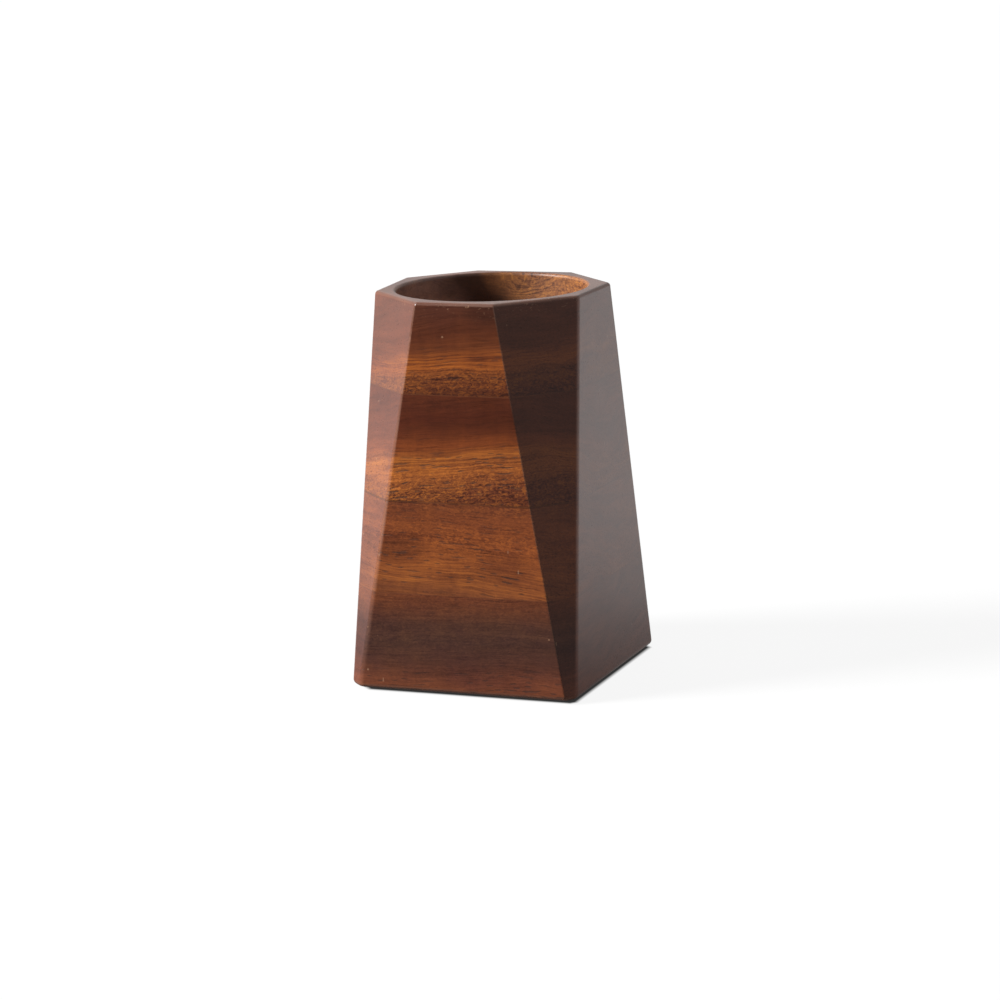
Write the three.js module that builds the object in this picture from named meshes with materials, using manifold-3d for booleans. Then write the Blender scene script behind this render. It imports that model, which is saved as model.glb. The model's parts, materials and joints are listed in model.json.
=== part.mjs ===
// Wooden pen holder: four boards glued one on another, bored out from the top and cut to eight
// facets that turn a square foot into an octagonal rim. It stands on four felt pads.
// Millimetres, +Z up. The origin lies on the bore's axis, on the desk.

import * as THREE from "three";
import { mergeVertices } from "three/addons/utils/BufferGeometryUtils.js";
import Module from "manifold-3d";

// The wooden block
const BLOCK_HEIGHT = 110;
const FOOT_WIDTH = 70; // between opposite main facets, at the underside
const FOOT_CORNER_CUT = 3; // how deep the corner facets cut into the square at the underside
const RIM_WIDTH = 62; // between opposite facets, at the rim

// The bore for the pens, cut with a flat-bottomed bit
const RIM_WALL = 4; // wood left between the bore and the facets at the rim
const FLOOR_THICKNESS = 10; // wood left under the bore
const BIT_POINT_DEPTH = 1.2; // the dimple that the bit's centre point leaves in the floor
const BIT_POINT_DIAMETER = 3;

// The boards, counted up from the foot. The board at the rim takes the rest of the height.
const BASE_BOARD = 28;
const LOWER_BOARD = 26;
const UPPER_BOARD = 30;
const GLUE_FILM = 0.15;

// Eased arrises
const FOOT_ROUND = 1.5; // round the underside
const RIM_ROUND = 1; // round the outside of the rim
const MOUTH_ROUND = 1; // round the mouth of the bore
const UPRIGHT_ROUND_AT_FOOT = 3; // most of the upright arrises, at the foot
const UPRIGHT_ROUND_AT_RIM = 1; // the same arrises, at the rim
const CRISP_ROUND = 0.8; // the one upright arris that sanding left crisp
const WORN_ROUND = 2.4; // the one that it rounded most

// Felt pads under the four corners
const PAD_DIAMETER = 10;
const PAD_THICKNESS = 1;
const PAD_INSET = 11; // from the sides of the foot to the middle of a pad

// The facets are cut by hand, so each one stands a little off the pattern. swing is the turn of the
// facet seen from above, in degrees. shave is the extra wood that it takes off at the rim. arris is
// the rounding of the upright arris between it and the next facet, at the foot and at the rim.
// They run anticlockwise from the front, and every second one is a corner facet.
const EASED = { foot: UPRIGHT_ROUND_AT_FOOT, rim: UPRIGHT_ROUND_AT_RIM };
const CRISP = { foot: CRISP_ROUND, rim: CRISP_ROUND };
const WORN = { foot: WORN_ROUND, rim: WORN_ROUND };
const FACETS = [
  { swing: 0, shave: 0, arris: CRISP },
  { swing: 0.5, shave: 1, arris: WORN, corner: true },
  { swing: -3, shave: 0.3, arris: EASED },
  { swing: -1, shave: 0, arris: EASED, corner: true },
  { swing: 0.5, shave: 1.5, arris: EASED },
  { swing: 1, shave: 0, arris: EASED, corner: true },
  { swing: 1.5, shave: 0.3, arris: EASED },
  { swing: 1, shave: 1, arris: EASED, corner: true },
];
const FRONT_FACES = -90; // degrees from +X
const FACET_STEP = 360 / FACETS.length;

// Fineness of the curved stretches
const UPRIGHT_STEPS = 4;
const ARRIS_STEPS = 4;
const BORE_STEPS = 96;
const PAD_STEPS = 32;

const wasm = await Module();
wasm.setup();

// Solids

function toSolid(geometry) {
  const bare = geometry.clone().deleteAttribute("normal").deleteAttribute("uv");
  const merged = mergeVertices(bare, 1e-5);
  return new wasm.Manifold(
    new wasm.Mesh({
      numProp: 3,
      vertProperties: merged.attributes.position.array,
      triVerts: new Uint32Array(merged.index.array),
    }),
  );
}

function toGeometry(solid) {
  const mesh = solid.getMesh();
  const geometry = new THREE.BufferGeometry();
  geometry.setAttribute("position", new THREE.BufferAttribute(mesh.vertProperties, mesh.numProp));
  geometry.setIndex(new THREE.BufferAttribute(mesh.triVerts, 1));
  const flat = geometry.toNonIndexed();
  flat.computeVertexNormals();
  return flat;
}

// A profile of [radius, height] points turned about the upright axis.
function turned(profile, steps) {
  const points = profile.map(([radius, height]) => new THREE.Vector2(radius, height));
  return new THREE.LatheGeometry(points, steps).rotateX(Math.PI / 2);
}

// The level outline of the block

// Each facet's direction, and its distance from the axis at the foot and at the rim. It leans in
// evenly between the two, so it stays a plane.
const squareCorner = FOOT_WIDTH / Math.SQRT2;
const facetPlanes = FACETS.map(({ swing, shave, arris, corner }, index) => ({
  angle: THREE.MathUtils.degToRad(FRONT_FACES + index * FACET_STEP + swing),
  foot: corner ? squareCorner - FOOT_CORNER_CUT : FOOT_WIDTH / 2,
  head: RIM_WIDTH / 2 - shave,
  arris,
}));

// Where two sides of the outline meet once both are drawn in by inset.
function meetingPoint(a, b, inset) {
  const da = a.distance - inset;
  const db = b.distance - inset;
  const bend = Math.sin(b.angle - a.angle);
  return new THREE.Vector2(
    (da * Math.sin(b.angle) - db * Math.sin(a.angle)) / bend,
    (db * Math.cos(a.angle) - da * Math.cos(b.angle)) / bend,
  );
}

// The outline at one height, drawn in by inset, with each corner rounded from facet to facet.
function outline(height, inset) {
  const rise = height / BLOCK_HEIGHT;
  const sides = facetPlanes.map(({ angle, foot, head, arris }) => ({
    angle,
    distance: THREE.MathUtils.lerp(foot, head, rise) - inset,
    round: THREE.MathUtils.lerp(arris.foot, arris.rim, rise),
  }));
  const count = sides.length;
  const corners = sides.map((side, i) => meetingPoint(side, sides[(i + 1) % count], 0));
  const widths = corners.map((corner, i) => corner.distanceTo(corners[(i + count - 1) % count]));
  return sides.flatMap((side, i) => {
    const next = sides[(i + 1) % count];
    const bend = (next.angle - side.angle + 2 * Math.PI) % (2 * Math.PI);
    const room = Math.min(widths[i], widths[(i + 1) % count]) / 2 / Math.tan(bend / 2);
    const radius = Math.min(side.round, 0.9 * room);
    const centre = meetingPoint(side, next, radius);
    return Array.from({ length: UPRIGHT_STEPS + 1 }, (_, step) => {
      const angle = side.angle + (bend * step) / UPRIGHT_STEPS;
      return [centre.x + radius * Math.cos(angle), centre.y + radius * Math.sin(angle), height];
    });
  });
}

// The block between two heights

// The heights at which the outline changes: the ends, and the steps of the two eased arrises.
function stations(low, high) {
  const quarter = Array.from({ length: ARRIS_STEPS + 1 }, (_, i) => (i * Math.PI) / 2 / ARRIS_STEPS);
  const foot = quarter.map((angle) => ({
    height: FOOT_ROUND * (1 - Math.cos(angle)),
    inset: FOOT_ROUND * (1 - Math.sin(angle)),
  }));
  const rim = quarter.map((angle) => ({
    height: BLOCK_HEIGHT - RIM_ROUND * (1 - Math.sin(angle)),
    inset: RIM_ROUND * (1 - Math.cos(angle)),
  }));
  const eased = [...foot, ...rim].filter(({ height }) => height > low && height < high);
  const insetAtLow = low === 0 ? FOOT_ROUND : 0;
  const insetAtHigh = high === BLOCK_HEIGHT ? RIM_ROUND : 0;
  return [{ height: low, inset: insetAtLow }, ...eased, { height: high, inset: insetAtHigh }];
}

// A closed skin over a stack of level outlines that all have the same number of points.
function loft(levels) {
  const around = levels[0].length;
  const top = levels.length - 1;
  const index = [];
  for (let level = 0; level < top; level += 1) {
    for (let i = 0; i < around; i += 1) {
      const a = level * around + i;
      const b = level * around + ((i + 1) % around);
      index.push(a, b, b + around, a, b + around, a + around);
    }
  }
  for (let i = 1; i < around - 1; i += 1) {
    index.push(0, i + 1, i);
    index.push(top * around, top * around + i, top * around + i + 1);
  }
  const geometry = new THREE.BufferGeometry();
  geometry.setAttribute("position", new THREE.Float32BufferAttribute(levels.flat(2), 3));
  geometry.setIndex(index);
  return geometry;
}

// The tool that clears the bore: flat floor, centre dimple, straight wall and a rounded mouth.
const boreRadius = RIM_WIDTH / 2 - RIM_WALL;
const thinnestRim = RIM_WALL - Math.max(...FACETS.map(({ shave }) => shave));
const mouthRound = Math.min(MOUTH_ROUND, thinnestRim - RIM_ROUND);
const mouth = Array.from({ length: ARRIS_STEPS + 1 }, (_, step) => {
  const angle = (step * Math.PI) / 2 / ARRIS_STEPS;
  return [
    boreRadius + mouthRound * (1 - Math.cos(angle)),
    BLOCK_HEIGHT - mouthRound * (1 - Math.sin(angle)),
  ];
});
const clearOfRim = BLOCK_HEIGHT + RIM_WALL;
const boreTool = toSolid(
  turned(
    [
      [0, FLOOR_THICKNESS - BIT_POINT_DEPTH],
      [BIT_POINT_DIAMETER / 2, FLOOR_THICKNESS],
      [boreRadius, FLOOR_THICKNESS],
      ...mouth,
      [boreRadius + mouthRound, clearOfRim],
      [0, clearOfRim],
    ],
    BORE_STEPS,
  ),
);

// One layer of the block, from low to high, with the bore taken out of it.
function layer(low, high) {
  const levels = stations(low, high).map(({ height, inset }) => outline(height, inset));
  return toGeometry(toSolid(loft(levels)).subtract(boreTool));
}

// Materials

const glue = new THREE.MeshStandardMaterial({ color: 0x2c1810, roughness: 0.5, metalness: 0 });
const felt = new THREE.MeshStandardMaterial({ color: 0x2b2a29, roughness: 0.95, metalness: 0 });

function oiledWood(colour) {
  return new THREE.MeshStandardMaterial({ color: colour, roughness: 0.42, metalness: 0 });
}

// Assembly

function piece(name, geometry, material) {
  const mesh = new THREE.Mesh(geometry, material);
  mesh.name = name;
  return mesh;
}

const block = new THREE.Group();
block.position.z = PAD_THICKNESS;

// Each board starts where the glue on the one below it ends.
const stack = [
  { name: "base", thickness: BASE_BOARD, colour: 0x4e3229 },
  { name: "lower", thickness: LOWER_BOARD, colour: 0x7c4528 },
  { name: "upper", thickness: UPPER_BOARD, colour: 0x6d3a24 },
];
let level = 0;
stack.forEach(({ name, thickness, colour }, index) => {
  const top = level + thickness;
  const above = stack[index + 1]?.name ?? "rim";
  block.add(piece(`${name}_board`, layer(level, top), oiledWood(colour)));
  block.add(piece(`glue_${name}_to_${above}`, layer(top, top + GLUE_FILM), glue));
  level = top + GLUE_FILM;
});
block.add(piece("rim_board", layer(level, BLOCK_HEIGHT), oiledWood(0x744227)));

const pads = new THREE.Group();
const padReach = FOOT_WIDTH / 2 - PAD_INSET;
const padProfile = [
  [0, 0],
  [PAD_DIAMETER / 2, 0],
  [PAD_DIAMETER / 2, PAD_THICKNESS],
  [0, PAD_THICKNESS],
];
for (const [name, x, y] of [
  ["front_left", -padReach, -padReach],
  ["front_right", padReach, -padReach],
  ["back_right", padReach, padReach],
  ["back_left", -padReach, padReach],
]) {
  const pad = piece(`felt_pad_${name}`, turned(padProfile, PAD_STEPS), felt);
  pad.position.set(x, y, 0);
  pads.add(pad);
}

const penHolder = new THREE.Group();
penHolder.add(block, pads);

export default penHolder;
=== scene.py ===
"""The looks of the faceted wooden pen holder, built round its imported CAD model."""
import functools
import json
import math

import bmesh
import bpy
from mathutils import Matrix, Vector, noise

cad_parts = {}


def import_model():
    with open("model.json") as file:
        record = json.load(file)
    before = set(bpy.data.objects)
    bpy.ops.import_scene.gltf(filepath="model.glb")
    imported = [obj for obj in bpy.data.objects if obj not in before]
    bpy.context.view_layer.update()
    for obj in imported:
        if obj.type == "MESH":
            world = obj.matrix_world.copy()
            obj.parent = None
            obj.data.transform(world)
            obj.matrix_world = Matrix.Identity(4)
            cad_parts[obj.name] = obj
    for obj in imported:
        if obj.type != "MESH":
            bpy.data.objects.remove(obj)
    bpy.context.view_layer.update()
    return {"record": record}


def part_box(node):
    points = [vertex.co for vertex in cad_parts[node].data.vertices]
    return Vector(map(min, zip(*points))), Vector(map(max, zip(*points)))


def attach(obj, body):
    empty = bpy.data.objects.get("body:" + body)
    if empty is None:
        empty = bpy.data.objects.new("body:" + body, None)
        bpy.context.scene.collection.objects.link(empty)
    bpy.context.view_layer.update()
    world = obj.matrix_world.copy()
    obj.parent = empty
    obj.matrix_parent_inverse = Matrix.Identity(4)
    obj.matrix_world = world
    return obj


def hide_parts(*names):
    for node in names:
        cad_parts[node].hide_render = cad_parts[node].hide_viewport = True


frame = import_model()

MM = 0.001
BODY = "root"

# The block's sizes, as the CAD model has them
FOOT_WIDTH = 70 * MM
FOOT_CORNER_CUT = 3 * MM
RIM_WIDTH = 62 * MM
BORE_RADIUS = 27 * MM
FLOOR_THICKNESS = 10 * MM
BIT_POINT_DEPTH = 1.2 * MM
BIT_POINT_RADIUS = 1.5 * MM
FOOT_ROUND = 1.5 * MM
RIM_ROUND = 1 * MM
MOUTH_ROUND = 1 * MM

# The rounding of an upright arris at the foot and at the rim
EASED = (3 * MM, 1 * MM)
CRISP = (0.8 * MM, 0.8 * MM)
WORN = (2.4 * MM, 2.4 * MM)

# Each facet, anticlockwise from the front: how far it swings off the pattern in degrees, how much
# more it takes off at the rim, whether it cuts a corner, and the arris between it and the next one.
FACETS = [
    (0, 0, False, CRISP),
    (0.5, 1 * MM, True, WORN),
    (-3, 0.3 * MM, False, EASED),
    (-1, 0, True, EASED),
    (0.5, 1.5 * MM, False, EASED),
    (1, 0, True, EASED),
    (1.5, 0.3 * MM, False, EASED),
    (1, 1 * MM, True, EASED),
]
FRONT_FACES = -90

BLOCK_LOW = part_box("base_board")[0].z
BLOCK_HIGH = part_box("rim_board")[1].z
BLOCK_HEIGHT = BLOCK_HIGH - BLOCK_LOW
TOUCHING = 0.001 * MM

# Mesh fineness. A narrow strip beside each rounded arris keeps its shading off the flat wood.
FLAT_STEP = 1.3 * MM
RISE_STEP = 1.4 * MM
STRIP = 0.12 * MM
UPRIGHT_STEPS = 6
ARRIS_STEPS = 6
BORE_FLOOR_RINGS = (0.7, 0.4)  # as shares of the bore's radius
SHARP_FROM = math.radians(40)

# Hand sanding leaves the facets a few hundredths of a millimetre off flat.
SANDING_WAVE = 0.05 * MM
SANDING_LENGTH = 14 * MM

# The felt pads
PAD_EDGE = 0.3 * MM
PAD_EDGE_STEPS = 4
PAD_AROUND = 64
PAD_FUZZ = 0.06 * MM
PAD_FUZZ_LENGTH = 0.9 * MM

# Camera, fitted to the photograph
CAMERA_DISTANCE = 870.5 * MM
CAMERA_AZIMUTH = 20.08
CAMERA_ELEVATION = 12.56
CAMERA_ROLL = -1.78
CAMERA_LENS = 109.7
SENSOR = 36
AIM_HEIGHT = BLOCK_LOW + 60 * MM
AIM_RIGHT = 0.95 * MM
AIM_UP = -11.57 * MM


# The block's outline

def facet_lines(height):
    """The eight sides of the level outline: direction, and distance from the axis."""
    rise = (height - BLOCK_LOW) / BLOCK_HEIGHT
    lines = []
    for index, (swing, shave, corner, _) in enumerate(FACETS):
        angle = math.radians(FRONT_FACES + 45 * index + swing)
        foot = FOOT_WIDTH / math.sqrt(2) - FOOT_CORNER_CUT if corner else FOOT_WIDTH / 2
        head = RIM_WIDTH / 2 - shave
        lines.append((angle, foot + (head - foot) * rise))
    return lines


def meeting_point(a, b, inset):
    """Where two sides meet once both are drawn in by inset."""
    (angle_a, da), (angle_b, db) = a, b
    da -= inset
    db -= inset
    bend = math.sin(angle_b - angle_a)
    x = (da * math.sin(angle_b) - db * math.sin(angle_a)) / bend
    y = (db * math.cos(angle_a) - da * math.cos(angle_b)) / bend
    return Vector((x, y))


def divided(length, step):
    """Shares of a length, about a step apart, with a narrow strip at each end."""
    strip = min(STRIP / length, 0.1)
    count = max(1, round(length / step))
    inner = [strip + (1 - 2 * strip) * i / count for i in range(count + 1)]
    return [0.0] + inner + [1.0]


def flat_shares():
    """How each flat side is divided, the same at every height."""
    lines = facet_lines((BLOCK_LOW + BLOCK_HIGH) / 2)
    shares = []
    for index, line in enumerate(lines):
        before = meeting_point(lines[index - 1], line, 0)
        after = meeting_point(line, lines[(index + 1) % len(lines)], 0)
        shares.append(divided((after - before).length, FLAT_STEP))
    return shares


def outline(height, inset, shares):
    """Points round the outline, each with its share of arris: 1 on an arris, 0 on a facet."""
    rise = (height - BLOCK_LOW) / BLOCK_HEIGHT
    lines = [(angle, distance - inset) for angle, distance in facet_lines(height)]
    arcs = []
    for index, line in enumerate(lines):
        following = lines[(index + 1) % len(lines)]
        at_foot, at_rim = FACETS[index][3]
        radius = at_foot + (at_rim - at_foot) * rise
        centre = meeting_point(line, following, radius)
        bend = (following[0] - line[0]) % (2 * math.pi)
        angles = [line[0] + bend * step / UPRIGHT_STEPS for step in range(UPRIGHT_STEPS + 1)]
        arcs.append([centre + radius * Vector((math.cos(a), math.sin(a))) for a in angles])
    points = []
    for index, arc in enumerate(arcs):
        start = arcs[index - 1][-1]
        points += [(start.lerp(arc[0], share), 0.0) for share in shares[index][1:-1]]
        for step, point in enumerate(arc):
            points.append((point, math.sin(math.pi * step / UPRIGHT_STEPS)))
    return points


def quarter(steps):
    return [math.pi / 2 * step / steps for step in range(steps + 1)]


def outer_wall(low, high):
    """(height, inset) up the outside of a layer, through the eased arrises at foot and rim."""
    at_foot = low <= BLOCK_LOW + TOUCHING
    at_rim = high >= BLOCK_HIGH - TOUCHING
    wall_low = low + FOOT_ROUND if at_foot else low
    wall_high = high - RIM_ROUND if at_rim else high
    rise = wall_high - wall_low
    wall = [(wall_low + rise * share, 0) for share in divided(rise, RISE_STEP)]
    foot = []
    rim = []
    if at_foot:
        foot.append((low, FOOT_ROUND + STRIP))
        for a in quarter(ARRIS_STEPS)[:-1]:
            foot.append((low + FOOT_ROUND * (1 - math.cos(a)), FOOT_ROUND * (1 - math.sin(a))))
    if at_rim:
        for a in quarter(ARRIS_STEPS)[1:]:
            rim.append((high - RIM_ROUND * (1 - math.sin(a)), RIM_ROUND * (1 - math.cos(a))))
        rim.append((high, RIM_ROUND + STRIP))
    return foot + wall + rim


def circle(radius, height, angles):
    return [Vector((radius * math.cos(a), radius * math.sin(a), height)) for a in angles]


def bore_wall(low, high):
    """(height, radius) down the inside of a layer, from its top to its underside or the floor."""
    bottom = max(low, BLOCK_LOW + FLOOR_THICKNESS)
    at_rim = high >= BLOCK_HIGH - TOUCHING
    top = high - MOUTH_ROUND if at_rim else high
    mouth = []
    if at_rim:
        mouth.append((high, BORE_RADIUS + MOUTH_ROUND + STRIP))
        for a in quarter(ARRIS_STEPS)[:0:-1]:
            height = high - MOUTH_ROUND * (1 - math.sin(a))
            mouth.append((height, BORE_RADIUS + MOUTH_ROUND * (1 - math.cos(a))))
    fall = top - bottom
    wall = [(top - fall * share, BORE_RADIUS) for share in divided(fall, RISE_STEP)]
    return mouth + wall


def sanded(point, outward):
    """A point moved by the slight unevenness that hand sanding leaves."""
    wave = noise.noise(point / SANDING_LENGTH) + 0.4 * noise.noise(point / (SANDING_LENGTH / 3))
    return point - outward * SANDING_WAVE * (0.5 + 0.5 * wave)


def bridge(mesh, lower, upper):
    """Faces between two closed rings with the same number of corners."""
    around = len(lower)
    for i in range(around):
        j = (i + 1) % around
        mesh.faces.new((lower[i], lower[j], upper[j], upper[i]))


def fan(mesh, ring, tip):
    """Faces from a closed ring to a point within it."""
    for i, corner in enumerate(ring):
        mesh.faces.new((corner, ring[(i + 1) % len(ring)], tip))


def to_piece(name, mesh):
    """Turns a bmesh into an object of the scene, shaded smooth between its sharp edges."""
    data = bpy.data.meshes.new(name)
    mesh.to_mesh(data)
    mesh.free()
    data.shade_smooth()
    data.set_sharp_from_angle(angle=SHARP_FROM)
    piece = bpy.data.objects.new(name, data)
    bpy.context.scene.collection.objects.link(piece)
    return piece


def layer_mesh(name, low, high):
    """A board or a glue film: outside wall, top, bore wall and underside as one closed skin."""
    shares = flat_shares()
    rings = []
    arris = []
    for height, inset in outer_wall(low, high):
        ring = []
        for point, share in outline(height, inset, shares):
            outward = Vector((point.x, point.y, 0)).normalized()
            ring.append(sanded(Vector((point.x, point.y, height)), outward))
            arris.append(1.0 if inset > 0 else share)
        rings.append(ring)
    middle = outline((BLOCK_LOW + BLOCK_HIGH) / 2, 0, shares)
    angles = [math.atan2(point.y, point.x) for point, _ in middle]
    for height, radius in bore_wall(low, high):
        rings.append(circle(radius, height, angles))
        arris += [1.0 if radius > BORE_RADIUS else 0.0] * len(angles)

    floor_height = BLOCK_LOW + FLOOR_THICKNESS
    open_below = low > floor_height
    if not open_below:
        inner = [BORE_RADIUS * share for share in BORE_FLOOR_RINGS]
        for radius in (BORE_RADIUS - STRIP, *inner, BIT_POINT_RADIUS):
            rings.append(circle(radius, floor_height, angles))
            arris += [0.0] * len(angles)
    mesh = bmesh.new()
    made = [[mesh.verts.new(point) for point in ring] for ring in rings]
    for lower, upper in zip(made, made[1:]):
        bridge(mesh, lower, upper)
    if open_below:
        bridge(mesh, made[-1], made[0])
    else:
        dimple = mesh.verts.new((0, 0, floor_height - BIT_POINT_DEPTH))
        under = mesh.verts.new((0, 0, low))
        arris += [0.0, 0.0]
        fan(mesh, made[-1], dimple)
        fan(mesh, made[0][::-1], under)
    piece = to_piece(name, mesh)
    piece.data.attributes.new("arris", "FLOAT", "POINT").data.foreach_set("value", arris)
    return piece


def pad_mesh(name, corners):
    """A punched felt disc with a soft edge and a slightly uneven outline."""
    lowest, highest = corners
    middle = (lowest + highest) / 2
    radius = (highest.x - lowest.x) / 2
    profile = []
    for a in quarter(PAD_EDGE_STEPS):
        height = lowest.z + PAD_EDGE * (1 - math.cos(a))
        profile.append((radius - PAD_EDGE * (1 - math.sin(a)), height))
    for a in quarter(PAD_EDGE_STEPS):
        height = highest.z - PAD_EDGE * (1 - math.sin(a))
        profile.append((radius - PAD_EDGE * (1 - math.cos(a)), height))
    mesh = bmesh.new()
    rings = []
    for reach, height in profile:
        ring = []
        for step in range(PAD_AROUND):
            a = 2 * math.pi * step / PAD_AROUND
            outward = Vector((math.cos(a), math.sin(a), 0))
            point = Vector((middle.x, middle.y, height)) + outward * reach
            inward = PAD_FUZZ * (0.5 + 0.5 * noise.noise(point / PAD_FUZZ_LENGTH))
            ring.append(mesh.verts.new(point - outward * inward))
        rings.append(ring)
    for lower, upper in zip(rings, rings[1:]):
        bridge(mesh, lower, upper)
    mesh.faces.new(rings[0][::-1])
    mesh.faces.new(rings[-1])
    return to_piece(name, mesh)


# Node helpers. Inside the materials lengths are in millimetres.

def add(tree, kind, **settings):
    made = tree.nodes.new("ShaderNode" + kind)
    for name, value in settings.items():
        setattr(made, name, value)
    return made


def put(tree, socket, value):
    """Sets a socket to a number or colour, or links another node's output to it."""
    if isinstance(value, bpy.types.NodeSocket):
        tree.links.new(value, socket)
    else:
        socket.default_value = value


def calc(tree, operation, *values):
    made = add(tree, "Math", operation=operation)
    for socket, value in zip(made.inputs, values):
        put(tree, socket, value)
    return made.outputs[0]


def total(tree, *values):
    return functools.reduce(lambda a, b: calc(tree, "ADD", a, b), values)


def product(tree, *values):
    return functools.reduce(lambda a, b: calc(tree, "MULTIPLY", a, b), values)


def less(tree, value, share):
    """A value with some of it taken away."""
    return calc(tree, "SUBTRACT", value, share)


def scaled(tree, colour, factor):
    made = add(tree, "VectorMath", operation="SCALE")
    put(tree, made.inputs[0], colour)
    put(tree, made.inputs["Scale"], factor)
    return made.outputs[0]


def tinted(tree, colour, tint):
    """A colour multiplied by another, channel by channel."""
    made = add(tree, "VectorMath", operation="MULTIPLY")
    put(tree, made.inputs[0], colour)
    put(tree, made.inputs[1], tint)
    return made.outputs[0]


def axes_of(tree, vector):
    made = add(tree, "SeparateXYZ")
    put(tree, made.inputs[0], vector)
    return made.outputs


def millimetres(tree):
    return scaled(tree, add(tree, "TexCoord").outputs["Object"], 1 / MM)


def stretched(tree, vector, lengths, shift=(0, 0, 0)):
    """Coordinates divided by a length along each axis, so that one unit is one such length."""
    made = add(tree, "Mapping", vector_type="POINT")
    put(tree, made.inputs["Vector"], vector)
    put(tree, made.inputs["Scale"], [1 / length for length in lengths])
    put(tree, made.inputs["Location"], shift)
    return made.outputs[0]


def cloud(tree, vector, lengths, shift=(0, 0, 0), detail=3.0, roughness=0.5, distortion=0.0):
    made = add(tree, "TexNoise", noise_dimensions="3D")
    put(tree, made.inputs["Vector"], stretched(tree, vector, lengths, shift))
    put(tree, made.inputs["Scale"], 1.0)
    put(tree, made.inputs["Detail"], detail)
    put(tree, made.inputs["Roughness"], roughness)
    put(tree, made.inputs["Distortion"], distortion)
    return made.outputs["Fac"]


def spread(tree, value, low, high, to_low=0.0, to_high=1.0, smooth=False):
    """Maps low..high to to_low..to_high and holds the ends."""
    made = add(tree, "MapRange", clamp=True)
    made.interpolation_type = "SMOOTHSTEP" if smooth else "LINEAR"
    put(tree, made.inputs["Value"], value)
    put(tree, made.inputs["From Min"], low)
    put(tree, made.inputs["From Max"], high)
    put(tree, made.inputs["To Min"], to_low)
    put(tree, made.inputs["To Max"], to_high)
    return made.outputs["Result"]


def swing(tree, fac, amount, reach=0.2):
    """Noise as a swing from -amount to amount. It is full at reach either side of the middle."""
    return spread(tree, fac, 0.5 - reach, 0.5 + reach, -amount, amount)


def mixed_number(tree, factor, a, b):
    made = add(tree, "Mix", data_type="FLOAT", clamp_factor=True)
    put(tree, made.inputs["Factor"], factor)
    put(tree, made.inputs[2], a)
    put(tree, made.inputs[3], b)
    return made.outputs[0]


def mixed(tree, factor, a, b):
    made = add(tree, "Mix", data_type="RGBA", clamp_factor=True)
    put(tree, made.inputs["Factor"], factor)
    put(tree, made.inputs[6], a)
    put(tree, made.inputs[7], b)
    return made.outputs[2]


def ramp(tree, value, stops):
    """A colour ramp from (position, colour) stops, with positions from 0 to 1."""
    made = add(tree, "ValToRGB")
    elements = made.color_ramp.elements
    while len(elements) < len(stops):
        elements.new(1.0)
    for element, (position, colour) in zip(elements, stops):
        element.position = position
        element.color = colour
    put(tree, made.inputs["Fac"], value)
    return made.outputs["Color"]


def shade(red, green, blue):
    """A colour written as it shows on a screen, 0 to 255, turned to a linear one."""
    def linear(level):
        level /= 255
        return level / 12.92 if level <= 0.04045 else ((level + 0.055) / 1.055) ** 2.4
    return (linear(red), linear(green), linear(blue), 1.0)


def new_material(name):
    material = bpy.data.materials.new(name)
    material.use_nodes = True
    tree = material.node_tree
    return material, tree, tree.nodes["Principled BSDF"]


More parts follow.
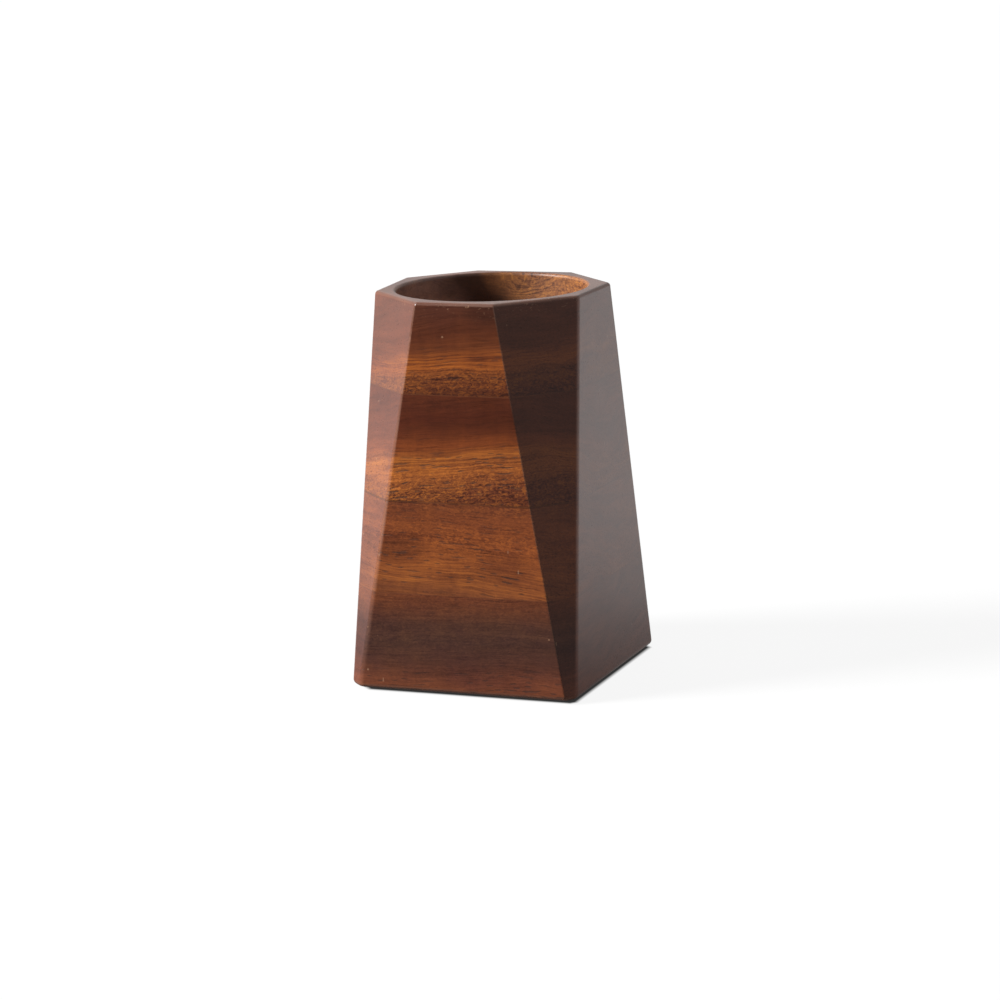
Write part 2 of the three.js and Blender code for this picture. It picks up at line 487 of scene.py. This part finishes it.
# Wood. The grain runs along X. The growth layers lie nearly level, and each board lists them from
# its underside up: millimetres above the underside, colour, and how strongly the wood there shows
# dark lines, mottled curl and open pores. Its patches are soft places that are darker or paler than
# the rest: place along X and above the underside, reach along and up, and how much darker.
# even_from is how far a face turns to look along the grain before its bands start to even out.
# stained is the face of the board that glue has crept in from.
BOARDS = {
    "base_board": {
        "rise_to_back": 0.10,
        "rise_to_right": 0.02,
        "fades_to_right": 0.04,
        "even_from": 0.6,
        "patches": [(24, 5, 10, 5, -0.15), (-33, 25, 8, 6, -0.6)],
        "layers": [
            (0, (113, 64, 43), 0.2, 0.1, 1.0),
            (4, (101, 57, 42), 0.1, 0.2, 0.7),
            (9, (79, 48, 40), 0.0, 0.2, 0.2),
            (15, (72, 47, 41), 0.0, 0.3, 0.1),
            (20, (76, 48, 40), 0.0, 0.3, 0.1),
            (28, (107, 59, 38), 0.2, 0.3, 0.3),
        ],
    },
    "lower_board": {
        "rise_to_back": -0.15,
        "rise_to_right": -0.06,
        "fades_to_right": 0.0,
        "even_from": 0.4,
        "patches": [(-18, 13, 12, 7, 0.35), (14, 8, 9, 7, 0.3), (-31, 11, 7, 9, 0.45)],
        "stained": "top",
        "layers": [
            (0, (110, 63, 40), 0.2, 0.2, 0.3),
            (2.5, (138, 80, 44), 0.6, 0.1, 0.9),
            (8, (134, 75, 41), 0.5, 0.2, 0.9),
            (15, (132, 72, 39), 0.3, 0.5, 0.7),
            (22, (120, 65, 37), 0.2, 0.3, 0.4),
            (26, (116, 64, 38), 0.2, 0.6, 0.4),
        ],
    },
    "upper_board": {
        "rise_to_back": -0.15,
        "rise_to_right": 0.08,
        "fades_to_right": 0.15,
        "even_from": 0.4,
        "patches": [(-22, 7, 8, 8, -0.35)],
        "stained": "underside",
        "layers": [
            (0, (110, 60, 34), 0.2, 0.9, 0.4),
            (2.5, (124, 70, 40), 0.4, 1.0, 0.8),
            (6.5, (138, 79, 42), 0.5, 0.6, 0.9),
            (10, (154, 89, 43), 0.6, 0.3, 1.0),
            (12.5, (154, 90, 43), 0.7, 0.1, 0.9),
            (16, (121, 62, 31), 0.3, 0.1, 0.2),
            (20, (90, 43, 23), 0.1, 0.1, 0.1),
            (24.5, (77, 34, 19), 0.0, 0.1, 0.0),
            (30, (84, 40, 23), 0.0, 0.2, 0.0),
        ],
    },
    "rim_board": {
        "rise_to_back": -0.10,
        "rise_to_right": 0.06,
        "fades_to_right": 0.15,
        "even_from": 0.4,
        # The first patch, the paler one on the left, is a painted highlight.
        "patches": [(-25, 2, 10, 4, -0.4), (10, 24, 9, 6, 0.35)],
        "layers": [
            (0, (84, 43, 26), 0.2, 0.8, 0.2),
            (2.5, (102, 54, 31), 0.2, 1.0, 0.4),
            (5.5, (112, 62, 35), 0.4, 0.8, 0.5),
            (8.4, (148, 82, 38), 0.7, 0.1, 0.6),
            (10.8, (132, 71, 34), 0.9, 0.0, 0.5),
            (13.5, (106, 56, 31), 0.3, 0.0, 0.2),
            (17.5, (86, 43, 25), 0.0, 0.1, 0.0),
            (25.5, (78, 43, 32), 0.0, 0.1, 0.0),
        ],
    },
}
ACROSS_GRAIN = shade(119, 71, 52)

# The bore's wall from its left side to its right, as shares of the bore's width. Its pale left is a
# painted sheen and the dark band after it is painted shade.
BORE_WALL_SHEEN_AND_SHADE = [
    (0.0, shade(156, 126, 118)),
    (0.1, shade(112, 90, 86)),
    (0.2, shade(66, 46, 38)),
    (0.3, shade(66, 44, 32)),
    (0.42, shade(140, 94, 56)),
    (1.0, shade(150, 98, 60)),
]
LIGHT_SPECK = shade(168, 128, 100)
# The pale of the arrises: partly rubbed wear, partly a painted highlight
PALE_WEAR_AND_HIGHLIGHT = shade(168, 128, 110)

# What the wood's colour is multiplied by
RED_PLACES = (0.9, 0.81, 0.81, 1)
GOLDEN_PLACES = (1.1, 1.01, 0.78, 1)
END_GRAIN_TINT = (1.0, 0.93, 1.03, 1)
DARK_LEANS_TO = (1.0, 0.93, 1.35, 1)
PALE_LEANS_TO = (0.99, 1.09, 0.72, 1)
NO_TINT = (1, 1, 1, 1)
DARKEST_TONE = 0.3

# Lengths of the figure in millimetres: along the grain, into the wood, and up
SLOW_WANDER = (60, 40, 30)
QUICK_WANDER = (18, 14, 10)
LINES = (16, 8, 0.42)
STREAKS = (60, 16, 2.6)
FIBRES = (7, 0.8, 0.3)
FIBRE_ENDS = (5, 0.45, 0.45)
CURL = (1.5, 1.5, 0.75)
SHIMMER = (2.2, 4, 11)
MOTTLES = (24, 24, 15)
WARM_PLACES = (34, 34, 20)
WARM_SPOTS = (5, 5, 3.5)
LONG_PORES = (11, 0.95, 0.95)
SHORT_PORES = (4, 0.8, 0.8)
DUST = (3, 3, 3)
SCUFFS = (3.2, 3.2, 10)
KNOCKS = (0.9, 0.9, 0.6)
BROKEN_WEAR_AND_HIGHLIGHT = (1.6, 1.6, 2.6)
GLUE_CREEP = (16, 16, 16)

# The noise at which dark or pale figure starts to show, and at which it is full
DARK_FIGURE = (0.48, 0.4)
PALE_LINES = (0.53, 0.63)
PALE_CURL = (0.53, 0.62)

# How far a face turns to look along the grain, from 0 to 1: where it starts to be end grain and
# where it is all end grain, and the same for where it stops being long grain.
END_GRAIN = (0.5, 0.85)
LONG_GRAIN_ENDS = (0.3, 0.9)

# How strongly the arrises are painted pale: partly rubbed wear, partly a painted highlight, and at
# the foot partly painted light from the floor
UPRIGHT_WEAR_AND_HIGHLIGHT = (0.03, 0.26)
FRONT_LEFT_WEAR_AND_HIGHLIGHT = 0.16
NEAR_RIM_WEAR_AND_HIGHLIGHT = 0.5
FOOT_EDGE_WEAR_AND_FLOOR_LIGHT = 0.2

# Places in millimetres
FOOT_AT = BLOCK_LOW / MM
RIM_AT = BLOCK_HIGH / MM
BORE_AT = BORE_RADIUS / MM
FRONT_LEFT_CORNER = (-10, -16)

# Gloss and relief
WOOD_IOR = 1.46
OILED_ROUGHNESS = (0.27, 0.33)
PORES_ROUGHER = 0.25
BORE_ROUGHER = 0.18
WOOD_RELIEF = 0.05 * MM
RELIEF_STRENGTH = 0.45
FIBRES_RAISED = 0.3

GLUE_DARK = shade(82, 46, 30)
GLUE_PALE = shade(118, 66, 39)
FELT_DARK = shade(38, 36, 35)
FELT_PALE = shade(74, 70, 67)
FELT_RELIEF = 0.15 * MM


def growth_layers(tree, place, wavy, shift, board, low, high):
    """How high a point lies in its board's growth layers, and the colour and figure there."""
    x, y, z = axes_of(tree, place)
    depth = total(tree, y, FOOT_WIDTH / 2 / MM)
    slow = cloud(tree, place, SLOW_WANDER, shift, 2.0)
    # The layers wander more the deeper they lie behind the front.
    wander = total(tree, swing(tree, slow, 6, 0.3), swing(tree, wavy, 2, 0.3))
    wander = product(tree, wander, spread(tree, depth, 0, 30, 0.3, 1.0))
    layer = less(tree, z, product(tree, depth, board["rise_to_back"]))
    layer = less(tree, layer, product(tree, x, board["rise_to_right"]))
    layer = total(tree, layer, wander)
    thickness = (high - low) / MM
    share = calc(tree, "DIVIDE", less(tree, layer, low / MM), thickness)
    share = calc(tree, "PINGPONG", share, 1.0)
    colours = [(row[0] / thickness, shade(*row[1])) for row in board["layers"]]
    strengths = [(row[0] / thickness, (*row[2:], 1.0)) for row in board["layers"]]
    figure = add(tree, "SeparateColor")
    put(tree, figure.inputs[0], ramp(tree, share, strengths))
    return layer, ramp(tree, share, colours), figure.outputs


def across_bore(tree, x, z, wavy, high):
    """Where a point lies across the bore, from 0 at its left to 1 at its right."""
    slant = spread(tree, z, high / MM - 20, high / MM, -0.2, 0.06)
    return total(tree, spread(tree, x, -BORE_AT, BORE_AT), slant, swing(tree, wavy, 0.1, 0.3))


def figure_tone(tree, place, flow, fibre, shift, lined, mottled, figured, end_grain):
    """Lines, curl, streaks, fibres and shimmer, as what they add to the tone."""
    lines = cloud(tree, flow, LINES, shift, 2.0, 0.5)
    streaks = cloud(tree, flow, STREAKS, shift, 3.0, 0.6)
    curl = cloud(tree, flow, CURL, shift, 3.0, 0.6, 1.5)
    shimmer = cloud(tree, place, SHIMMER, shift, 2.0)
    along = total(
        tree,
        swing(tree, streaks, 0.16),
        swing(tree, fibre, 0.2),
        swing(tree, shimmer, 0.07),
        product(tree, spread(tree, lines, *DARK_FIGURE, to_high=-0.5), lined),
        product(tree, spread(tree, lines, *PALE_LINES, to_high=0.4), lined),
        product(tree, spread(tree, curl, *DARK_FIGURE, to_high=-0.55), mottled),
        product(tree, spread(tree, curl, *PALE_CURL, to_high=0.8), mottled),
    )
    # Cut across, the fibres show as fine specks and the growth layers as soft bands.
    fibre_ends = cloud(tree, place, FIBRE_ENDS, shift, 3.0, 0.65)
    across = total(tree, swing(tree, fibre_ends, 0.24), swing(tree, streaks, 0.2, 0.15))
    return total(tree, product(tree, along, figured), product(tree, across, end_grain))


def patch_tone(tree, x, z, board, low):
    """The slow fade to the right and the soft patches, as a share of the tone."""
    fade = board["fades_to_right"]
    share = spread(tree, x, -25, 20, 1 + fade, 1 - fade)
    for along, up, reach_along, reach_up, darker in board["patches"]:
        side = calc(tree, "DIVIDE", less(tree, x, along), reach_along)
        rise = calc(tree, "DIVIDE", less(tree, z, low / MM + up), reach_up)
        away = total(tree, product(tree, side, side), product(tree, rise, rise))
        share = product(tree, share, spread(tree, away, 0, 1, 1 - darker, 1, smooth=True))
    return share


def warmth_tint(tree, place, shift):
    """The drift between redder and more golden wood."""
    other_way = [-step for step in shift]
    places = spread(tree, cloud(tree, place, WARM_PLACES, other_way, 2.0), 0.35, 0.65, 0, 0.6)
    spots = spread(tree, cloud(tree, place, WARM_SPOTS, other_way, 2.0), 0.35, 0.65, 0, 0.4)
    return mixed(tree, total(tree, places, spots), RED_PLACES, GOLDEN_PLACES)


def glue_stain(tree, place, x, z, joint):
    """Glue crept into the wood beside a joint: all along its left part, else here and there."""
    off = calc(tree, "ABSOLUTE", less(tree, z, joint))
    near = spread(tree, off, 0.1, 0.4, 0.6, 0.0)
    crept = spread(tree, cloud(tree, place, GLUE_CREEP, (3, 8, 5), 3.0, 0.6), 0.42, 0.55)
    crept = calc(tree, "MAXIMUM", crept, spread(tree, x, -14, -6, 1.0, 0.0))
    return product(tree, near, crept)


def wear_and_painted_highlight(tree, place, shift, mottles):
    """How pale the arrises are painted: partly rubbed wear, partly a painted highlight. Those of
    the front left corner are painted palest.
    """
    x, y, z = axes_of(tree, place)
    broken = cloud(tree, place, BROKEN_WEAR_AND_HIGHLIGHT, shift, 3.0, 0.7)
    broken = spread(tree, broken, 0.4, 0.6, to_high=NEAR_RIM_WEAR_AND_HIGHLIGHT)
    near_rim = spread(tree, z, RIM_AT - 26, RIM_AT - 12)
    front_left = product(
        tree,
        total(tree, FRONT_LEFT_WEAR_AND_HIGHLIGHT, product(tree, broken, near_rim)),
        spread(tree, z, RIM_AT - 1.0, RIM_AT - 1.6),
        spread(tree, x, *FRONT_LEFT_CORNER),
        spread(tree, y, *FRONT_LEFT_CORNER),
    )
    upright = total(tree, spread(tree, mottles, 0.35, 0.65, *UPRIGHT_WEAR_AND_HIGHLIGHT), front_left)
    upright = product(tree, upright, spread(tree, z, FOOT_AT + 8, FOOT_AT + 45, 0.1, 1.0))
    # The foot's arris is painted paler. This is partly wear, and partly painted light standing in
    # for what the floor below bounces up.
    foot_edge = spread(tree, z, FOOT_AT + 2.2, FOOT_AT + 0.6, to_high=FOOT_EDGE_WEAR_AND_FLOOR_LIGHT)
    arris = add(tree, "Attribute", attribute_type="GEOMETRY", attribute_name="arris")
    return product(tree, total(tree, upright, foot_edge), arris.outputs["Fac"])


def cells(tree, vector, lengths, shift, radius, rarity):
    """Scattered ellipsoids: one per cell of the given lengths, in one cell out of so many."""
    made = add(tree, "TexVoronoi", voronoi_dimensions="3D", feature="F1")
    put(tree, made.inputs["Vector"], stretched(tree, vector, lengths, shift))
    put(tree, made.inputs["Scale"], 1.0)
    distance = made.outputs["Distance"]
    inside = spread(tree, distance, radius * 0.75, radius * 1.25, 1.0, 0.0, smooth=True)
    pick = add(tree, "SeparateColor")
    put(tree, pick.inputs[0], made.outputs["Color"])
    chosen = calc(tree, "LESS_THAN", pick.outputs[0], 1 / rarity)
    return product(tree, inside, chosen)


def pore_mask(tree, flow, shift, strength):
    """Open pores: short dark dashes along the grain."""
    long_ones = cells(tree, flow, LONG_PORES, shift, 0.23, 1.6)
    short_ones = cells(tree, flow, SHORT_PORES, shift, 0.26, 1.8)
    both = calc(tree, "MAXIMUM", long_ones, short_ones)
    return product(tree, both, spread(tree, strength, 0, 1, 0.04, 0.85))


def speck_mask(tree, place, z, shift):
    """A few pale specks of dust left in the finish, short scuffs, and knocks below the rim."""
    dust = cells(tree, place, DUST, shift, 0.1, 9)
    scuffs = cells(tree, place, SCUFFS, shift, 0.06, 5)
    specks = product(tree, calc(tree, "MAXIMUM", dust, scuffs), 0.5)
    near_rim = spread(tree, z, RIM_AT - 5, RIM_AT - 1, 0.0, 0.6)
    below_rim = spread(tree, z, RIM_AT - 0.2, RIM_AT - 0.6)
    knocks = spread(tree, cloud(tree, place, KNOCKS, shift, 2.0, 0.6, 1.0), 0.64, 0.7)
    return calc(tree, "MAXIMUM", specks, product(tree, knocks, near_rim, below_rim))


def wood(name, seed, board, low, high):
    """Oiled wood for one board."""
    material, tree, shader = new_material(name)
    place = millimetres(tree)
    x, y, z = axes_of(tree, place)
    shift = (seed * 7.3, seed * 3.1, seed * 5.7)
    wavy = cloud(tree, place, QUICK_WANDER, shift, 3.0, 0.55)
    layer, band, figure = growth_layers(tree, place, wavy, shift, board, low, high)
    lined, mottled, open_pored = figure

    # The bands even out and the figure fades on the faces that look along the grain.
    normal = add(tree, "NewGeometry").outputs["Normal"]
    along_grain = calc(tree, "ABSOLUTE", axes_of(tree, normal)[0])
    from_axis = calc(tree, "SQRT", total(tree, product(tree, x, x), product(tree, y, y)))
    bored = spread(tree, from_axis, BORE_AT + 0.9, BORE_AT + 0.3)
    outside = less(tree, 1.0, bored)
    end_grain = product(tree, spread(tree, along_grain, *END_GRAIN), outside)
    long_grain = product(tree, spread(tree, along_grain, *LONG_GRAIN_ENDS, 1.0, 0.0), outside)
    figured = less(tree, 1.0, product(tree, end_grain, 0.85))
    even = spread(tree, along_grain, board["even_from"], 0.9, 0.0, 0.78)
    base = mixed(tree, product(tree, even, outside), band, ACROSS_GRAIN)

    # The bore's wall gets colours painted across it, a painted sheen at its left and painted shade
    # beside it, and more figure towards its right side.
    across = across_bore(tree, x, z, wavy, high)
    base = mixed(tree, product(tree, bored, 0.85), base, ramp(tree, across, BORE_WALL_SHEEN_AND_SHADE))
    bore_figure = product(tree, bored, spread(tree, across, 0.3, 0.5, 0.12, 0.6))
    mottled = mixed_number(tree, bored, mottled, bore_figure)
    lined = mixed_number(tree, bored, lined, bore_figure)

    # Noise in flow follows the growth layers.
    flow = add(tree, "CombineXYZ")
    for socket, value in zip(flow.inputs, (x, y, layer)):
        put(tree, socket, value)
    flow = flow.outputs[0]
    fibre = cloud(tree, flow, FIBRES, shift, 3.0, 0.65)
    mottles = cloud(tree, place, MOTTLES, shift, 2.0)
    tone = figure_tone(tree, place, flow, fibre, shift, lined, mottled, figured, end_grain)
    tone = total(tree, tone, spread(tree, mottles, 0.3, 0.7, 0.9, 1.1))
    patch = mixed_number(tree, long_grain, 1.0, patch_tone(tree, x, z, board, low))
    tone = calc(tree, "MAXIMUM", product(tree, tone, patch), DARKEST_TONE)
    tint = mixed(tree, end_grain, warmth_tint(tree, place, shift), END_GRAIN_TINT)
    colour = scaled(tree, tinted(tree, base, tint), tone)

    # Dark figure leans to purple and pale figure to gold.
    lean = mixed(tree, spread(tree, tone, 0.55, 1.4), DARK_LEANS_TO, PALE_LEANS_TO)
    lean = mixed(tree, calc(tree, "MAXIMUM", lined, mottled), NO_TINT, lean)
    colour = tinted(tree, colour, lean)

    pores = pore_mask(tree, flow, shift, open_pored)
    pores = product(tree, pores, calc(tree, "MAXIMUM", figured, 0.5))
    colour = mixed(tree, pores, colour, scaled(tree, colour, 0.3))
    specks = product(tree, speck_mask(tree, place, z, shift), outside)
    colour = mixed(tree, specks, colour, LIGHT_SPECK)
    if "stained" in board:
        joint = (high if board["stained"] == "top" else low) / MM
        stain = product(tree, glue_stain(tree, place, x, z, joint), figured)
        colour = scaled(tree, colour, less(tree, 1.0, stain))
    # The arrises and the rim top are painted pale: partly rubbed wear, partly a painted highlight.
    wear_and_highlight = product(tree, wear_and_painted_highlight(tree, place, shift, mottles), outside)
    put(tree, shader.inputs["Base Color"], mixed(tree, wear_and_highlight, colour, PALE_WEAR_AND_HIGHLIGHT))

    # The oil leaves a low gloss. The pores and the bore are duller.
    rough = total(
        tree,
        spread(tree, fibre, 0.3, 0.7, *OILED_ROUGHNESS),
        product(tree, pores, PORES_ROUGHER),
        product(tree, bored, BORE_ROUGHER),
    )
    put(tree, shader.inputs["Roughness"], rough)
    shader.inputs["IOR"].default_value = WOOD_IOR
    bump = add(tree, "Bump")
    bump.inputs["Distance"].default_value = WOOD_RELIEF
    put(tree, bump.inputs["Strength"], product(tree, figured, RELIEF_STRENGTH))
    put(tree, bump.inputs["Height"], less(tree, product(tree, fibre, FIBRES_RAISED), pores))
    put(tree, shader.inputs["Normal"], bump.outputs[0])
    return material


def glue_material():
    material, tree, shader = new_material("wood_glue")
    place = millimetres(tree)
    patch = cloud(tree, place, (9, 9, 9), detail=4.0, roughness=0.6)
    fine = cloud(tree, place, (1.5, 1.5, 0.5), detail=2.0)
    tone = total(tree, product(tree, patch, 0.6), product(tree, fine, 0.4))
    colour = mixed(tree, spread(tree, tone, 0.35, 0.65), GLUE_DARK, GLUE_PALE)
    put(tree, shader.inputs["Base Color"], colour)
    put(tree, shader.inputs["Roughness"], spread(tree, patch, 0.3, 0.7, 0.28, 0.36))
    return material


def felt_material():
    material, tree, shader = new_material("felt")
    place = millimetres(tree)
    fuzz = cloud(tree, place, (0.35, 0.35, 0.35), detail=5.0, roughness=0.7)
    clump = cloud(tree, place, (2.4, 2.4, 2.4))
    tone = total(tree, product(tree, fuzz, 0.6), product(tree, clump, 0.4))
    colour = mixed(tree, spread(tree, tone, 0.35, 0.65), FELT_DARK, FELT_PALE)
    put(tree, shader.inputs["Base Color"], colour)
    shader.inputs["Roughness"].default_value = 0.95
    shader.inputs["Sheen Weight"].default_value = 0.4
    bump = add(tree, "Bump")
    bump.inputs["Distance"].default_value = FELT_RELIEF
    bump.inputs["Strength"].default_value = 0.8
    put(tree, bump.inputs["Height"], fuzz)
    put(tree, shader.inputs["Normal"], bump.outputs[0])
    return material


# The pieces. Each CAD solid is replaced by a finer one of the same form.

slots = {row["node"]: row["material_slot"] for row in frame["record"]["subparts"]}


def dress(piece, node, material):
    piece.data.materials.append(material)
    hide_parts(node)
    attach(piece, BODY)


def layer_of(node):
    return [corner.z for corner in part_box(node)]


for index, (node, board) in enumerate(BOARDS.items()):
    low, high = layer_of(node)
    piece = layer_mesh(node.replace("_board", "_wood"), low, high)
    dress(piece, node, wood(slots[node], index + 1, board, low, high))

glue = glue_material()
for node in [name for name in slots if name.startswith("glue")]:
    low, high = layer_of(node)
    dress(layer_mesh(node.replace("glue", "glue_line"), low, high), node, glue)

felt = felt_material()
for node in [name for name in slots if name.startswith("felt")]:
    dress(pad_mesh(node.replace("felt_pad", "felt_disc"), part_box(node)), node, felt)


# Floor, light and camera. Behind the holder everything is white, as in a studio sweep. In front of
# it the room is dim, which the front facets mirror.
FLOOR_SIZE = 40
FLOOR_COLOUR = (0.09, 0.09, 0.09, 1)
FLOOR_GLOW = 0.9
SWEEP_STARTS = -0.1
SWEEP_ENDS = 0.12
DIM = 0.02
BACKDROP = 0.6
ROOM_LIGHT = 0.05

# The floor glows less under the foot, where the holder shades it. Distances are from the outline of
# the foot, which is moved a little, because the shade falls to the right.
DARK_INSIDE = -2.8 * MM
CLEAR_FROM = -1.4 * MM
SHADE_SHIFT = Vector((1.35, 0.5)) * MM
UNDER_FOOT = 0.03

# What the facets mirror of the floor near the foot is dimmer than further out.
NEAR_FLOOR = 250 * MM
MIRRORED_NEAR = 0.7
MIRRORED_FAR = 1.14


def ray_kinds(tree):
    """Whether a ray is seen directly or through glass, and whether it is a mirrored one."""
    path = add(tree, "LightPath").outputs
    direct = calc(tree, "MAXIMUM", path["Is Camera Ray"], path["Is Transmission Ray"])
    return direct, path["Is Glossy Ray"]


def dim_in_front(tree, y, full):
    """The studio's brightness along Y: dim in front of the holder, and full behind it."""
    return spread(tree, y, SWEEP_STARTS, SWEEP_ENDS, DIM, full, smooth=True)


def beyond_foot(tree, place):
    """How far a point of the floor lies outside the foot's shifted outline."""
    beyond = -FOOT_WIDTH
    for angle, distance in facet_lines(BLOCK_LOW):
        outward = Vector((math.cos(angle), math.sin(angle)))
        along = add(tree, "VectorMath", operation="DOT_PRODUCT")
        put(tree, along.inputs[0], place)
        put(tree, along.inputs[1], (outward.x, outward.y, 0))
        past = less(tree, along.outputs["Value"], distance + outward.dot(SHADE_SHIFT))
        beyond = calc(tree, "MAXIMUM", beyond, past)
    return beyond


def floor():
    bpy.ops.mesh.primitive_plane_add(size=FLOOR_SIZE, location=(0, 0, 0))
    plane = bpy.context.object
    plane.name = "floor"
    material, tree, shader = new_material("floor")
    shader.inputs["Base Color"].default_value = FLOOR_COLOUR
    shader.inputs["Roughness"].default_value = 0.9
    shader.inputs["Specular IOR Level"].default_value = 0.0
    direct, glossy = ray_kinds(tree)
    place = add(tree, "TexCoord").outputs["Object"]
    beyond = beyond_foot(tree, place)
    near = spread(tree, beyond, 0, NEAR_FLOOR, MIRRORED_NEAR, MIRRORED_FAR, smooth=True)
    mirrored = product(tree, dim_in_front(tree, axes_of(tree, place)[1], FLOOR_GLOW), near)
    glow = total(tree, product(tree, direct, FLOOR_GLOW), product(tree, glossy, mirrored))
    shaded = spread(tree, beyond, DARK_INSIDE, CLEAR_FROM, UNDER_FOOT, 1.0)
    glow = product(tree, glow, shaded)
    put(tree, shader.inputs["Emission Color"], (1, 1, 1, 1))
    put(tree, shader.inputs["Emission Strength"], glow)
    plane.data.materials.append(material)


def world():
    made = bpy.data.worlds.new("studio")
    bpy.context.scene.world = made
    made.use_nodes = True
    tree = made.node_tree
    background = tree.nodes["Background"]
    direct, glossy = ray_kinds(tree)
    towards = axes_of(tree, add(tree, "TexCoord").outputs["Generated"])
    mirrored = product(tree, glossy, dim_in_front(tree, towards[1], BACKDROP))
    strength = total(tree, direct, mirrored)
    put(tree, background.inputs["Color"], (1, 1, 1, 1))
    put(tree, background.inputs["Strength"], calc(tree, "MAXIMUM", strength, ROOM_LIGHT))


def far_light(name, azimuth, elevation, softness, strength):
    """A large soft light far away. azimuth is where it stands, in degrees from +X."""
    data = bpy.data.lights.new(name, "SUN")
    data.energy = strength
    data.angle = math.radians(softness)
    lamp = bpy.data.objects.new(name, data)
    a, e = math.radians(azimuth), math.radians(elevation)
    towards = Vector((math.cos(a) * math.cos(e), math.sin(a) * math.cos(e), math.sin(e)))
    lamp.rotation_mode = "QUATERNION"
    lamp.rotation_quaternion = towards.to_track_quat("Z", "Y")
    bpy.context.scene.collection.objects.link(lamp)


def camera():
    azimuth = math.radians(CAMERA_AZIMUTH)
    elevation = math.radians(CAMERA_ELEVATION)
    roll = math.radians(CAMERA_ROLL)
    back = Vector((
        math.sin(azimuth) * math.cos(elevation),
        -math.cos(azimuth) * math.cos(elevation),
        math.sin(elevation),
    ))
    level = Vector((math.cos(azimuth), math.sin(azimuth), 0))
    rise = back.cross(level)
    right = level * math.cos(roll) + rise * math.sin(roll)
    up = rise * math.cos(roll) - level * math.sin(roll)
    eye = Vector((0, 0, AIM_HEIGHT)) + right * AIM_RIGHT + up * AIM_UP + back * CAMERA_DISTANCE
    data = bpy.data.cameras.new("camera")
    data.lens = CAMERA_LENS
    data.sensor_width = SENSOR
    data.sensor_fit = "HORIZONTAL"
    data.clip_end = 2 * FLOOR_SIZE
    seer = bpy.data.objects.new("camera", data)
    turn = Matrix((right, up, back)).transposed().to_4x4()
    seer.matrix_world = Matrix.Translation(eye) @ turn
    bpy.context.scene.collection.objects.link(seer)
    bpy.context.scene.camera = seer


floor()
world()
far_light("key", azimuth=-152, elevation=30, softness=18, strength=6.45)
far_light("back", azimuth=112, elevation=50, softness=60, strength=0.6)
far_light("fill", azimuth=-10, elevation=12, softness=110, strength=0.72)
camera()

scene = bpy.context.scene
scene.view_settings.view_transform = "Standard"
